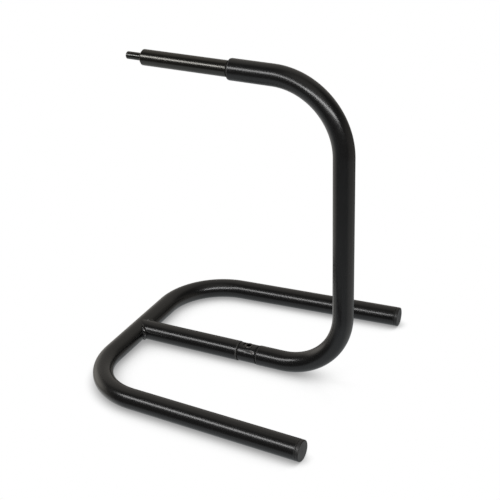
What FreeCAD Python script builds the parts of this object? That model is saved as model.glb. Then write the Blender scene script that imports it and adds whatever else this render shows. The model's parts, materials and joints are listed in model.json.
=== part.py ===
import FreeCAD, Part
import Sketcher
import math
import os
import re

# Bicycle display stand: a bent tube base with a stem and a pivot collar, and an upright
# whose turned rod goes into a hollow crank spindle. Millimetres and degrees.
# The origin is the middle of the footprint on the floor, +X runs from the back bar along
# the stem to the open end of the base, and +Z is up.

SIZES = [
    ("tube_od", 25.4, "outside diameter of the bent tubes"),
    ("tube_wall", 2.0, "wall of the bent tubes"),
    ("corner_spacing", 290.0, "base corners, measured between the straight centre lines"),
    ("arm_reach", 305.0, "back bar axis to the faces of the end caps, along X"),
    ("arm_splay", 3.0, "angle of each base arm outwards from X"),
    ("base_bend", 80.0, "centre line radius of the base corners"),
    ("stem_reach", 147.5, "back bar axis to the collar's shoulder"),
    ("cope_gap", 0.2, "gap between the stem's saddle cut and the back bar"),
    ("weld_leg", 3.5, "leg of the weld bead at the sides of the stem"),
    ("weld_toe", 1.2, "leg of the weld bead at its two ends"),
    ("weld_span", 60.0, "angle from the stem's side to each end of the bead"),
    ("edge_chamfer", 1.2, "chamfer on the tube mouths"),
    ("collar_step", 0.7, "pivot collar's surface below the tubes' surface"),
    ("collar_length", 25.4, "length of the collar that shows"),
    ("collar_chamfer", 1.0, "chamfer on the collar's two edges"),
    ("shank_length", 28.0, "collar shank inside the stem"),
    ("slip", 0.04, "radial room between pieces that are pressed or sleeved together"),
    ("running", 0.05, "radial running clearance of turning pieces"),
    ("face_gap", 0.15, "gap between faces that turn on each other"),
    ("spigot_od", 12.0, "diameter of the pivot spigot"),
    ("spigot_reach", 26.0, "spigot beyond the collar's shoulder, into the stem"),
    ("spigot_head", 30.0, "length of the spigot's head inside the upright"),
    ("small_chamfer", 0.8, "lead chamfer on turned pieces"),
    ("bush_wall", 1.5, "wall of the pivot bushes"),
    ("bush_length", 12.0, "length of each pivot bush"),
    ("bush_seat", 2.0, "front bush's seat beyond the collar's shoulder"),
    ("bore_room", 0.3, "radial room round the spigot in the collar's bore"),
    ("washer_step", 1.0, "thrust washer's edge below the collar's surface"),
    ("washer_thick", 1.0, "thickness of the thrust washer"),
    ("lock_od", 12.0, "thread diameter of the lock screw"),
    ("lock_length", 4.0, "length of the lock screw"),
    ("lock_hex", 6.0, "hexagon socket of the lock screw, across flats"),
    ("lock_hex_depth", 2.5, "depth of that socket"),
    ("lock_chamfer", 0.7, "chamfer on the lock screw's ends"),
    ("recess_od", 14.5, "spot face round the lock screw"),
    ("recess_depth", 1.6, "depth of the spot face below the collar's top"),
    ("pad_od", 11.0, "diameter of the lock pad"),
    ("pad_thick", 1.2, "thickness of the lock pad"),
    ("pad_gap", 0.2, "gap between the lock pad and the spigot"),
    ("groove_place", 21.0, "retaining groove, from the collar's shoulder"),
    ("groove_width", 3.2, "width of the retaining groove"),
    ("groove_depth", 1.2, "depth of the retaining groove"),
    ("retain_od", 4.0, "thread diameter of the retaining screws"),
    ("retain_dog", 2.5, "diameter of their dog points"),
    ("retain_dog_length", 2.0, "length of their dog points"),
    ("retain_gap", 0.3, "gap between a dog point and the groove's floor"),
    ("retain_sink", 0.4, "retaining screws below the collar's surface"),
    ("retain_hex", 2.0, "hexagon socket of the retaining screws, across flats"),
    ("retain_hex_depth", 1.8, "depth of those sockets"),
    ("retain_turn", 50.0, "first retaining screw, from the top towards -Y"),
    ("pin_od", 4.0, "diameter of the slotted spring pins"),
    ("pin_wall", 0.8, "wall of the spring pins"),
    ("pin_slot", 0.8, "slot of the spring pins"),
    ("pin_sink", 0.3, "spring pins below the tube's surface"),
    ("collar_pin_place", 13.0, "collar pin, back from the collar's shoulder"),
    ("collar_pin_length", 4.6, "length of the collar pin"),
    ("spigot_pin_place", 15.0, "spigot pin, from the upright tube's mouth"),
    ("spigot_pin_length", 10.0, "length of the spigot pin"),
    ("post_reach", 288.0, "back bar axis to the post's axis"),
    ("lower_bend", 82.0, "centre line radius of the upright's lower bend"),
    ("upper_bend", 87.0, "centre line radius of the upright's upper bend"),
    ("arm_height", 380.3, "height at which the post's and the top arm's axes meet"),
    ("arm_rise", 1.4, "rise of the top arm towards its tip"),
    ("arm_length", 138.0, "top arm from the post's axis to its mouth"),
    ("arm_bush_length", 45.0, "length of the bush in the top arm"),
    ("rod_od", 19.0, "diameter of the spindle rod"),
    ("rod_reach", 114.7, "spindle rod that stands out of the top arm"),
    ("rod_shank_od", 16.0, "diameter of the rod's shank in the top arm"),
    ("rod_hold", 40.0, "length of that shank"),
    ("rod_chamfer", 1.5, "chamfer on the spindle rod's end"),
    ("ring_wall", 2.26, "rubber ring at the rod's root, from its bore to its edge"),
    ("ring_thick", 2.4, "thickness of that ring"),
    ("ring_edge", 0.4, "chamfer on the ring's outer edges"),
    ("rod_screw_od", 6.0, "diameter of the screw that holds the rod"),
    ("rod_screw_bite", 0.8, "depth of that screw's seat in the rod"),
    ("rod_screw_hex", 3.0, "hexagon socket of that screw, across flats"),
    ("rod_screw_place", 20.0, "that screw, back from the top arm's mouth"),
    ("tip_od", 9.0, "diameter of the tip pin"),
    ("tip_reach", 21.3, "tip pin that stands out of the rod"),
    ("tip_chamfer", 1.0, "chamfer on the tip pin's end"),
    ("tip_thread", 8.0, "thread diameter of the tip pin's root"),
    ("tip_hold", 18.0, "tip pin's root inside the rod"),
    ("cap_step", 0.1, "end caps' flanges below the tube's surface"),
    ("cap_flange", 4.0, "thickness of the end caps' flanges"),
    ("cap_rim", 1.2, "rounding of the end caps' rims"),
    ("cap_plug", 16.0, "length of the end caps' plugs"),
    ("cap_rib_height", 0.86, "height of the plugs' ribs"),
    ("cap_wall", 1.8, "wall of the plugs"),
    ("cap_rib_width", 1.2, "width of the plugs' ribs"),
    ("cap_rib_pitch", 4.5, "spacing of the plugs' ribs"),
]
RETAIN_COUNT = 3
CAP_RIBS = 3
WELD_RINGS = 9

doc = FreeCAD.newDocument("DisplayStand")
sizes = doc.addObject("Spreadsheet::Sheet", "sizes")
for row, (alias, number, note) in enumerate(SIZES, start=1):
    sizes.set(f"A{row}", alias)
    sizes.set(f"B{row}", str(number))
    sizes.set(f"C{row}", note)
    sizes.setAlias(f"B{row}", alias)
doc.recompute()

ALIASES = re.compile(r"\b(" + "|".join(alias for alias, number, note in SIZES) + r")\b")


# Expressions in the sheet's names, and their values now

def cells(text):
    return ALIASES.sub(r"sizes.\1", text)


def value(text):
    return float(sizes.evalExpression(cells(text)))


# Places along the stand that several pieces share
TUBE_R = "tube_od/2"
TUBE_BORE = "(tube_od/2 - tube_wall)"
COLLAR_R = "(tube_od/2 - collar_step)"
CAP_R = "(tube_od/2 - cap_step)"
CAP_FRONT = f"(arm_reach + cap_rim*(1 - cos(arm_splay)) + ({CAP_R} - cap_rim)*sin(arm_splay))"
BAR_X = f"((tube_od/2 - {CAP_FRONT})/2)"
COLLAR_X = f"({BAR_X} + stem_reach)"
LOCK_X = "collar_length/2"
UPRIGHT_START = "(collar_length + washer_thick + face_gap)"
POST_RUN = f"(post_reach - stem_reach - {UPRIGHT_START})"
BUSH_BORE = "(spigot_od/2 + running + bush_wall)"
COLLAR_BORE = "(spigot_od/2 + bore_room)"
LOCK_FLOOR = "(spigot_od/2 + pad_gap)"
SHANK_R = f"({TUBE_BORE} - slip)"
ARM_MOUTH_X = f"({BAR_X} + post_reach - arm_length*cos(arm_rise))"
ARM_MOUTH_Z = "(arm_height + arm_length*sin(arm_rise))"
ARM_CUT = "(arm_reach - cap_flange*cos(arm_splay))"
ARM_CUT_Y = f"(corner_spacing/2 + {ARM_CUT}*tan(arm_splay))"


# Building blocks

def new_body(name):
    body = doc.addObject("PartDesign::Body", name)
    body.Label = name
    return body


def origin_part(body, role):
    return next(feature for feature in body.Origin.OriginFeatures if feature.Role == role)


def place(body, across="0", depth="0", up="0", axis=None, angle="0"):
    turn = FreeCAD.Rotation()
    if axis is not None:
        turn = FreeCAD.Rotation(FreeCAD.Vector(*axis), value(angle))
    body.Placement = FreeCAD.Placement(FreeCAD.Vector(), turn)
    if axis is not None:
        body.setExpression("Placement.Rotation.Angle", cells(angle))
    for letter, text in (("x", across), ("y", depth), ("z", up)):
        body.setExpression(f"Placement.Base.{letter}", cells(text))


def new_sketch(body, name, role, turn=None, angle="0", centre=("0", "0", "0")):
    """Sketch on an origin plane of its own body, turned and moved where asked."""
    sketch = body.newObject("Sketcher::SketchObject", name)
    sketch.AttachmentSupport = [(origin_part(body, role), "")]
    sketch.MapMode = "FlatFace"
    if turn is not None:
        turned_by = FreeCAD.Rotation(FreeCAD.Vector(*turn), value(angle))
        sketch.AttachmentOffset = FreeCAD.Placement(FreeCAD.Vector(), turned_by)
        sketch.setExpression("AttachmentOffset.Rotation.Angle", cells(angle))
    for letter, text in zip("xyz", centre):
        if text != "0":
            sketch.setExpression(f"AttachmentOffset.Base.{letter}", cells(text))
    return sketch


def bind(sketch, kind, references, text, name):
    """Dimension that follows an expression of the sheet."""
    number = value(text)
    if kind == "Angle":
        number = math.radians(number)
    index = sketch.addConstraint(Sketcher.Constraint(kind, *references, number))
    sketch.renameConstraint(index, name)
    sketch.setExpression(f"Constraints.{name}", cells(text))


def pin_point(sketch, geometry, end, across, up, name):
    """Hold one point of the sketch at a place given by two expressions."""
    if across == "0":
        sketch.addConstraint(Sketcher.Constraint("PointOnObject", geometry, end, -2))
    else:
        bind(sketch, "DistanceX", (-1, 1, geometry, end), across, name + "_across")
    if up == "0":
        sketch.addConstraint(Sketcher.Constraint("PointOnObject", geometry, end, -1))
    else:
        bind(sketch, "DistanceY", (-1, 1, geometry, end), up, name + "_up")


def outline(sketch, corners):
    """Closed outline through corners given as (across, up) expressions."""
    points = [FreeCAD.Vector(value(across), value(up), 0) for across, up in corners]
    count = len(corners)
    for k in range(count):
        sketch.addGeometry(Part.LineSegment(points[k], points[(k + 1) % count]), False)
    for k in range(count):
        sketch.addConstraint(Sketcher.Constraint("Coincident", k, 2, (k + 1) % count, 1))
    for k, (across, up) in enumerate(corners):
        pin_point(sketch, k, 1, across, up, f"corner{k}")


def circle(sketch, diameter, across="0", up="0"):
    number = sketch.GeometryCount
    centre = FreeCAD.Vector(value(across), value(up), 0)
    sketch.addGeometry(Part.Circle(centre, FreeCAD.Vector(0, 0, 1), value(diameter)/2), False)
    pin_point(sketch, number, 3, across, up, f"centre{number}")
    bind(sketch, "Diameter", (number,), diameter, f"diameter{number}")


def revolve(body, name, corners, about="H_Axis"):
    """Turned shape from its half section in the XZ plane."""
    sketch = new_sketch(body, name + "_section", "XZ_Plane")
    outline(sketch, corners)
    doc.recompute()
    turned = body.newObject("PartDesign::Revolution", name)
    turned.Profile = sketch
    turned.ReferenceAxis = (sketch, [about])
    turned.Angle = 360
    doc.recompute()
    return turned


def turned_body(name, corners, about="H_Axis"):
    body = new_body(name)
    revolve(body, name + "_turned", corners, about)
    return body


def cut(body, sketch, name, depth, towards_normal=False, both_ways=False):
    """Pocket that has to take material away, else the build stops."""
    doc.recompute()
    before = body.Shape.Volume
    pocket = body.newObject("PartDesign::Pocket", name)
    pocket.Profile = sketch
    pocket.setExpression("Length", cells(depth))
    pocket.Reversed = towards_normal
    pocket.Midplane = both_ways
    doc.recompute()
    if not body.Shape.Volume < before - 1e-3:
        raise RuntimeError(f"{name} cuts nothing")
    return pocket


def hexagon(sketch, across_flats):
    corners = [(f"{across_flats}/sqrt(3)*cos({60*k})", f"{across_flats}/sqrt(3)*sin({60*k})")
               for k in range(6)]
    corners[0] = (corners[0][0], "0")
    corners[3] = (corners[3][0], "0")
    outline(sketch, corners)


def round_edges(body, diameter, centre):
    """The body's last feature, and its closed edges of one diameter about one centre."""
    girth = math.pi*value(diameter)
    edges = [f"Edge{k}" for k, edge in enumerate(body.Tip.Shape.Edges, start=1)
             if edge.isClosed() and abs(edge.Length - girth) < 0.01*girth
             and edge.CenterOfMass.distanceToPoint(centre) < 0.5]
    return body.Tip, edges


def chamfer_mouth(body, name, centre):
    """Chamfer on the outer edge of a tube's mouth."""
    base = round_edges(body, "tube_od", centre)
    chamfer = body.newObject("PartDesign::Chamfer", name)
    chamfer.Base = base
    chamfer.setExpression("Size", cells("edge_chamfer"))
    doc.recompute()


def swept_tube(body, name, path, profile_role):
    """Round tube swept along a path that starts square to the profile's plane."""
    profile = new_sketch(body, name + "_ring", profile_role)
    circle(profile, "tube_od")
    circle(profile, "tube_od - 2*tube_wall")
    doc.recompute()
    pipe = body.newObject("PartDesign::AdditivePipe", name)
    pipe.Profile = profile
    pipe.Spine = path
    doc.recompute()
    return pipe


# Base: one bent tube, the welded stem and the two end caps

def base_tube():
    """Half of the U from the middle of the back bar to one arm's end, then mirrored."""
    body = new_body("base_tube")
    place(body, BAR_X, "0", TUBE_R)
    path = new_sketch(body, "base_path", "XY_Plane")
    bend = value("base_bend")
    turn = 90 - value("arm_splay")
    side = value("corner_spacing/2") - bend*math.tan(math.radians(turn/2))
    centre = FreeCAD.Vector(bend, side, 0)
    bar_end = FreeCAD.Vector(0, side, 0)
    curve = Part.ArcOfCircle(Part.Circle(centre, FreeCAD.Vector(0, 0, 1), bend),
                             math.radians(180 - turn), math.pi)
    arm_end = FreeCAD.Vector(value(ARM_CUT), value(ARM_CUT_Y), 0)
    path.addGeometry(Part.LineSegment(FreeCAD.Vector(), bar_end), False)
    path.addGeometry(curve, False)
    path.addGeometry(Part.LineSegment(curve.StartPoint, arm_end), False)
    path.addConstraint(Sketcher.Constraint("Coincident", 0, 1, -1, 1))
    path.addConstraint(Sketcher.Constraint("Vertical", 0))
    path.addConstraint(Sketcher.Constraint("Tangent", 0, 2, 1, 2))
    path.addConstraint(Sketcher.Constraint("Tangent", 1, 1, 2, 1))
    bind(path, "Radius", (1,), "base_bend", "bend_radius")
    bind(path, "Angle", (2,), "arm_splay", "splay_angle")
    pin_point(path, 2, 2, ARM_CUT, ARM_CUT_Y, "arm_end")
    half = swept_tube(body, "base_half", path, "XZ_Plane")
    mirror = body.newObject("PartDesign::Mirrored", "base_mirrored")
    mirror.Originals = [half]
    mirror.MirrorPlane = (origin_part(body, "XZ_Plane"), [""])
    body.Tip = mirror
    doc.recompute()
    return body


def stem_tube():
    """Straight tube with a saddle cut round the back bar and a hole for the collar pin."""
    bore, mouth = TUBE_BORE, "stem_reach"
    body = turned_body("stem_tube", [
        ("0", bore), (mouth, bore), (mouth, "tube_od/2 - edge_chamfer"),
        ("stem_reach - edge_chamfer", TUBE_R), ("0", TUBE_R)])
    place(body, BAR_X, "0", TUBE_R)
    saddle = new_sketch(body, "saddle_circle", "XZ_Plane")
    circle(saddle, "tube_od + 2*cope_gap")
    cut(body, saddle, "saddle", "2*tube_od", both_ways=True)
    hole = new_sketch(body, "stem_pin_circle", "XY_Plane")
    circle(hole, "pin_od + 2*slip", "stem_reach - collar_pin_place")
    cut(body, hole, "stem_pin_hole", "tube_od")
    return body


def stem_welds():
    """Weld bead up each side of the stem, along the line where it meets the back bar."""
    bead = doc.addObject("Part::Feature", "stem_welds")
    bead.Label = "stem_welds"
    radius = value(TUBE_R)
    leg, toe = value("weld_leg"), value("weld_toe")
    room = value("slip")
    span = math.radians(value("weld_span"))
    rings = []
    for k in range(WELD_RINGS):
        angle = span*(2*k/(WELD_RINGS - 1) - 1)
        middle = FreeCAD.Vector(radius*math.cos(angle), radius*math.cos(angle),
                                radius*math.sin(angle))
        along = FreeCAD.Vector(-math.sin(angle), -math.sin(angle), math.cos(angle))
        size = toe + (leg - toe)*math.cos(math.pi/2*angle/span)
        rings.append(Part.Wire(Part.makeCircle(size, middle, along)))
    rope = Part.makeLoft(rings, True, False)
    back_bar = Part.makeCylinder(radius + room, 4*radius, FreeCAD.Vector(0, -2*radius, 0),
                                 FreeCAD.Vector(0, 1, 0))
    stem = Part.makeCylinder(radius + room, 4*radius, FreeCAD.Vector(), FreeCAD.Vector(1, 0, 0))
    left = rope.cut(back_bar).cut(stem)
    right = left.mirror(FreeCAD.Vector(), FreeCAD.Vector(0, 1, 0))
    bead.Shape = Part.makeCompound([left.Solids[0], right.Solids[0]])
    bead.Placement = FreeCAD.Placement(FreeCAD.Vector(value(BAR_X), 0, radius),
                                       FreeCAD.Rotation())
    return bead


def end_cap(name, side):
    """Moulded cap: rounded flange, hollow plug and ribs that grip the tube's bore."""
    rib = f"({TUBE_BORE} - slip)"
    core = f"({rib} - cap_rib_height)"
    inner = f"({core} - cap_wall)"
    corners = [("cap_flange", "0"), ("cap_flange", CAP_R), ("0", CAP_R)]
    for k in range(CAP_RIBS):
        rib_start = f"-(cap_rib_width + cap_rib_pitch*{k})"
        rib_end = f"-(2*cap_rib_width + cap_rib_pitch*{k})"
        corners += [("0" if k == 0 else f"-(cap_rib_pitch*{k})", core), (rib_start, rib),
                    (rib_end, core)]
    corners += [("-cap_plug", core), ("-cap_plug", inner), ("-cap_wall/2", inner),
                ("-cap_wall/2", "0")]
    body = turned_body(name, corners)
    base = round_edges(body, f"2*{CAP_R}", FreeCAD.Vector(value("cap_flange"), 0, 0))
    rounding = body.newObject("PartDesign::Fillet", name + "_rim")
    rounding.Base = base
    rounding.setExpression("Radius", cells("cap_rim"))
    doc.recompute()
    sign = "-" if side < 0 else ""
    place(body, f"{BAR_X} + {ARM_CUT}", f"{sign}{ARM_CUT_Y}", TUBE_R, (0, 0, 1),
          f"{sign}arm_splay")
    return body


# Pivot collar on the stem, with its bushes, washer, pins and screws

def pivot_collar():
    """Turned collar whose shank fills the stem; the spigot turns in its bore."""
    body = turned_body("pivot_collar", [
        ("-shank_length", BUSH_BORE), ("-shank_length", f"{SHANK_R} - small_chamfer"),
        ("small_chamfer - shank_length", SHANK_R), ("0", SHANK_R),
        ("0", f"{COLLAR_R} - collar_chamfer"), ("collar_chamfer", COLLAR_R),
        ("collar_length - collar_chamfer", COLLAR_R),
        ("collar_length", f"{COLLAR_R} - collar_chamfer"), ("collar_length", COLLAR_BORE),
        ("bush_seat", COLLAR_BORE), ("bush_seat", BUSH_BORE)])
    place(body, COLLAR_X, "0", TUBE_R)
    recess = new_sketch(body, "recess_circle", "XY_Plane", (0, 0, 1), "0",
                        ("0", "0", f"{COLLAR_R} - recess_depth"))
    circle(recess, "recess_od", LOCK_X)
    cut(body, recess, "lock_recess", "tube_od", towards_normal=True)
    thread = new_sketch(body, "lock_circle", "XY_Plane")
    circle(thread, "lock_od + 2*running", LOCK_X)
    cut(body, thread, "lock_hole", "tube_od", towards_normal=True)
    pin = new_sketch(body, "collar_pin_circle", "XY_Plane")
    circle(pin, "pin_od + 2*slip", "-collar_pin_place")
    cut(body, pin, "collar_pin_hole", "tube_od")
    retain = new_sketch(body, "retain_circle", "XY_Plane", (1, 0, 0), "retain_turn")
    circle(retain, "retain_od + 2*slip", "groove_place")
    hole = cut(body, retain, "retain_hole", "tube_od", towards_normal=True)
    pattern = body.newObject("PartDesign::PolarPattern", "retain_holes")
    pattern.Originals = [hole]
    pattern.Axis = (origin_part(body, "X_Axis"), [""])
    pattern.Angle = 360
    pattern.Occurrences = RETAIN_COUNT
    body.Tip = pattern
    doc.recompute()
    return body


def pivot_bush(name, start):
    """Plain bronze bush pressed into the collar."""
    inner, outer = "(spigot_od/2 + running)", f"({BUSH_BORE} - slip)"
    body = turned_body(name, [("0", inner), ("bush_length", inner), ("bush_length", outer),
                              ("0", outer)])
    place(body, f"{COLLAR_X} + {start}", "0", TUBE_R)
    return body


def thrust_washer():
    inner, outer = COLLAR_BORE, f"({COLLAR_R} - washer_step)"
    body = turned_body("thrust_washer", [("0", inner), ("washer_thick", inner),
                                         ("washer_thick", outer), ("0", outer)])
    place(body, f"{COLLAR_X} + collar_length", "0", TUBE_R)
    return body


def spring_pin(name, length, across):
    """Slotted spring pin, driven up from the underside of the tube."""
    body = new_body(name)
    ring = new_sketch(body, name + "_ring", "XY_Plane")
    circle(ring, "pin_od")
    circle(ring, "pin_od - 2*pin_wall")
    doc.recompute()
    barrel = body.newObject("PartDesign::Pad", name + "_barrel")
    barrel.Profile = ring
    barrel.setExpression("Length", cells(length))
    slot = new_sketch(body, name + "_slot_outline", "XY_Plane")
    outline(slot, [("0", "-pin_slot/2"), ("pin_od", "-pin_slot/2"), ("pin_od", "pin_slot/2"),
                   ("0", "pin_slot/2")])
    cut(body, slot, name + "_slot", length, towards_normal=True)
    place(body, across, "0", "pin_sink")
    return body


def socket_screw(name, corners, across_flats, hex_depth, top):
    """Headless screw about its own Z axis, with a hexagon socket in its top."""
    body = turned_body(name, corners, "V_Axis")
    socket = new_sketch(body, name + "_hexagon", "XY_Plane", (0, 0, 1), "0", ("0", "0", top))
    hexagon(socket, across_flats)
    cut(body, socket, name + "_socket", hex_depth)
    return body


def lock_screw():
    bottom = f"({LOCK_FLOOR} + pad_thick + running)"
    top = f"({bottom} + lock_length)"
    body = socket_screw("lock_screw", [
        ("0", bottom), ("lock_od/2 - lock_chamfer", bottom),
        ("lock_od/2", f"{bottom} + lock_chamfer"), ("lock_od/2", f"{top} - lock_chamfer"),
        ("lock_od/2 - lock_chamfer", top), ("0", top)], "lock_hex", "lock_hex_depth", top)
    place(body, f"{COLLAR_X} + {LOCK_X}", "0", TUBE_R)
    return body


def lock_pad():
    """Brass pad trapped between the lock screw and the spigot."""
    body = turned_body("lock_pad", [
        ("0", LOCK_FLOOR), ("pad_od/2", LOCK_FLOOR), ("pad_od/2", f"{LOCK_FLOOR} + pad_thick"),
        ("0", f"{LOCK_FLOOR} + pad_thick")], "V_Axis")
    place(body, f"{COLLAR_X} + {LOCK_X}", "0", TUBE_R)
    return body


def retaining_screws():
    """Dog point screws whose points run in the spigot's groove."""
    bottom = "(spigot_od/2 - groove_depth + retain_gap)"
    shoulder = f"({bottom} + retain_dog_length)"
    top = f"({COLLAR_R} - retain_sink)"
    body = socket_screw("retaining_screws", [
        ("0", bottom), ("retain_dog/2", bottom), ("retain_dog/2", shoulder),
        ("retain_od/2", shoulder), ("retain_od/2", top), ("0", top)],
        "retain_hex", "retain_hex_depth", top)
    pattern = body.newObject("PartDesign::PolarPattern", "retaining_ring")
    pattern.Originals = [body.getObject("retaining_screws_turned"),
                         body.getObject("retaining_screws_socket")]
    pattern.Axis = (origin_part(body, "X_Axis"), [""])
    pattern.Angle = 360
    pattern.Occurrences = RETAIN_COUNT
    body.Tip = pattern
    doc.recompute()
    place(body, f"{COLLAR_X} + groove_place", "0", TUBE_R, (1, 0, 0), "retain_turn")
    return body


# Upright: spigot, bent tube, spindle rod and tip pin

def pivot_spigot():
    """Turned spigot: a head fixed in the upright's mouth and a shaft that turns in the collar."""
    shaft, floor = "spigot_od/2", "(spigot_od/2 - groove_depth)"
    near, far = "(groove_place - groove_width/2)", "(groove_place + groove_width/2)"
    head_end = f"({UPRIGHT_START} + spigot_head)"
    body = turned_body("pivot_spigot", [
        ("-spigot_reach", "0"), ("-spigot_reach", f"{shaft} - small_chamfer"),
        ("small_chamfer - spigot_reach", shaft), (near, shaft), (near, floor), (far, floor),
        (far, shaft), (UPRIGHT_START, shaft), (UPRIGHT_START, SHANK_R),
        (f"{head_end} - small_chamfer", SHANK_R), (head_end, f"{SHANK_R} - small_chamfer"),
        (head_end, "0")])
    place(body, COLLAR_X, "0", TUBE_R)
    hole = new_sketch(body, "spigot_pin_circle", "XY_Plane", (0, 0, 1), "0",
                      ("0", "0", f"spigot_pin_length - {TUBE_R} + 2*pin_sink"))
    circle(hole, "pin_od + 2*slip", f"{UPRIGHT_START} + spigot_pin_place")
    cut(body, hole, "spigot_pin_hole", "tube_od")
    return body


def upright_tube():
    """Bent tube: short run out of the collar, lower bend, post, upper bend and top arm."""
    body = new_body("upright_tube")
    place(body, f"{COLLAR_X} + {UPRIGHT_START}", "0", TUBE_R)
    end_x = f"({POST_RUN} - arm_length*cos(arm_rise))"
    end_z = f"({ARM_MOUTH_Z} - {TUBE_R})"
    path = new_sketch(body, "upright_path", "XZ_Plane")
    post, low, high = value(POST_RUN), value("lower_bend"), value("upper_bend")
    turn = math.radians(90 - value("arm_rise"))
    bend_z = value(f"arm_height - {TUBE_R}") - high*math.tan(turn/2)
    normal = FreeCAD.Vector(0, 0, 1)
    lower = Part.ArcOfCircle(Part.Circle(FreeCAD.Vector(post - low, low, 0), normal, low),
                             -math.pi/2, 0)
    upper = Part.ArcOfCircle(Part.Circle(FreeCAD.Vector(post - high, bend_z, 0), normal, high),
                             0, turn)
    path.addGeometry(Part.LineSegment(FreeCAD.Vector(), lower.StartPoint), False)
    path.addGeometry(lower, False)
    path.addGeometry(Part.LineSegment(lower.EndPoint, upper.StartPoint), False)
    path.addGeometry(upper, False)
    end = FreeCAD.Vector(value(end_x), value(end_z), 0)
    path.addGeometry(Part.LineSegment(upper.EndPoint, end), False)
    path.addConstraint(Sketcher.Constraint("Coincident", 0, 1, -1, 1))
    path.addConstraint(Sketcher.Constraint("Horizontal", 0))
    for k in range(4):
        path.addConstraint(Sketcher.Constraint("Tangent", k, 2, k + 1, 1))
    bind(path, "Radius", (1,), "lower_bend", "lower_radius")
    bind(path, "Radius", (3,), "upper_bend", "upper_radius")
    bind(path, "Angle", (4,), "180 - arm_rise", "arm_angle")
    pin_point(path, 4, 2, end_x, end_z, "arm_mouth")
    path.addConstraint(Sketcher.Constraint("Vertical", 2))
    bind(path, "DistanceX", (-1, 1, 2, 1), POST_RUN, "post_place")
    swept_tube(body, "upright_pipe", path, "YZ_Plane")
    chamfer_mouth(body, "lower_mouth", FreeCAD.Vector())
    chamfer_mouth(body, "upper_mouth", FreeCAD.Vector(end.x, 0, end.y))
    hole = new_sketch(body, "upright_pin_circle", "XY_Plane")
    circle(hole, "pin_od + 2*slip", "spigot_pin_place")
    cut(body, hole, "upright_pin_hole", "tube_od")
    screw = new_sketch(body, "rod_screw_circle", "XY_Plane", (0, 1, 0), "arm_rise",
                       (end_x, "0", end_z))
    circle(screw, "rod_screw_od + 2*slip", "rod_screw_place")
    cut(body, screw, "rod_screw_hole", "tube_od")
    return body


def on_the_arm(body, back="0"):
    """Place a piece on the top arm's axis, its own X axis pointing out of the mouth."""
    place(body, f"{ARM_MOUTH_X} + {back}*cos(arm_rise)", "0",
          f"{ARM_MOUTH_Z} - {back}*sin(arm_rise)", (0, 1, 0), "180 + arm_rise")


def arm_bush():
    inner, outer = "(rod_shank_od/2 + slip)", SHANK_R
    body = turned_body("arm_bush", [
        ("-arm_bush_length", inner), ("0", inner), ("0", outer),
        ("small_chamfer - arm_bush_length", outer),
        ("-arm_bush_length", f"{outer} - small_chamfer")])
    hole = new_sketch(body, "arm_bush_circle", "XY_Plane")
    circle(hole, "rod_screw_od + 2*slip", "-rod_screw_place")
    cut(body, hole, "arm_bush_hole", "tube_od", towards_normal=True)
    on_the_arm(body)
    return body


def spindle_rod():
    """Turned rod: shank in the arm's bush, shoulder, and a tapped end for the tip pin."""
    rod, shank, hole_r = "rod_od/2", "rod_shank_od/2", "(tip_thread/2 + slip)"
    hole_end = "(rod_reach - tip_hold - face_gap)"
    body = turned_body("spindle_rod", [
        ("-rod_hold", "0"), ("-rod_hold", f"{shank} - small_chamfer"),
        ("small_chamfer - rod_hold", shank), ("ring_thick", shank), ("ring_thick", rod),
        ("rod_reach - rod_chamfer", rod), ("rod_reach", f"{rod} - rod_chamfer"),
        ("rod_reach", hole_r), (hole_end, hole_r), (hole_end, "0")])
    seat = new_sketch(body, "rod_screw_seat_circle", "XY_Plane", (0, 0, 1), "0",
                      ("0", "0", "rod_shank_od/2 - rod_screw_bite"))
    circle(seat, "rod_screw_od + 2*slip", "-rod_screw_place")
    cut(body, seat, "rod_screw_seat", "tube_od", towards_normal=True)
    on_the_arm(body)
    return body


def rod_screw():
    bottom = "(rod_shank_od/2 - rod_screw_bite + slip)"
    top = f"({TUBE_R} - pin_sink)"
    radius = "rod_screw_od/2"
    body = socket_screw("rod_screw", [
        ("0", bottom), (f"{radius} - small_chamfer", bottom),
        (radius, f"{bottom} + small_chamfer"), (radius, top), ("0", top)],
        "rod_screw_hex", f"({top} - {bottom})/2", top)
    on_the_arm(body, "rod_screw_place")
    return body


def rod_ring():
    """Rubber ring on the rod's shank, between the top arm's mouth and the rod's shoulder."""
    inner, outer = "(rod_shank_od/2 + slip)", "(rod_shank_od/2 + slip + ring_wall)"
    body = turned_body("rod_ring", [
        ("0", inner), ("ring_thick", inner), ("ring_thick", f"{outer} - ring_edge"),
        ("ring_thick - ring_edge", outer), ("ring_edge", outer), ("0", f"{outer} - ring_edge")])
    on_the_arm(body)
    return body


def tip_pin():
    """Slim pin screwed into the rod's end."""
    pin, root = "tip_od/2", "tip_thread/2"
    body = turned_body("tip_pin", [
        ("rod_reach - tip_hold", "0"), ("rod_reach - tip_hold", f"{root} - small_chamfer"),
        ("rod_reach - tip_hold + small_chamfer", root), ("rod_reach", root), ("rod_reach", pin),
        ("rod_reach + tip_reach - tip_chamfer", pin),
        ("rod_reach + tip_reach", f"{pin} - tip_chamfer"), ("rod_reach + tip_reach", "0")])
    on_the_arm(body)
    return body


PIECES = [
    base_tube(),
    stem_tube(),
    stem_welds(),
    end_cap("right_end_cap", -1),
    end_cap("left_end_cap", 1),
    pivot_collar(),
    spring_pin("collar_pin", "collar_pin_length", f"{COLLAR_X} - collar_pin_place"),
    pivot_bush("rear_bush", "(-shank_length)"),
    pivot_bush("front_bush", "(bush_seat - bush_length)"),
    thrust_washer(),
    retaining_screws(),
    lock_screw(),
    lock_pad(),
    pivot_spigot(),
    spring_pin("spigot_pin", "spigot_pin_length",
               f"{COLLAR_X} + {UPRIGHT_START} + spigot_pin_place"),
    upright_tube(),
    arm_bush(),
    rod_screw(),
    rod_ring(),
    spindle_rod(),
    tip_pin(),
]
doc.recompute()

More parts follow.
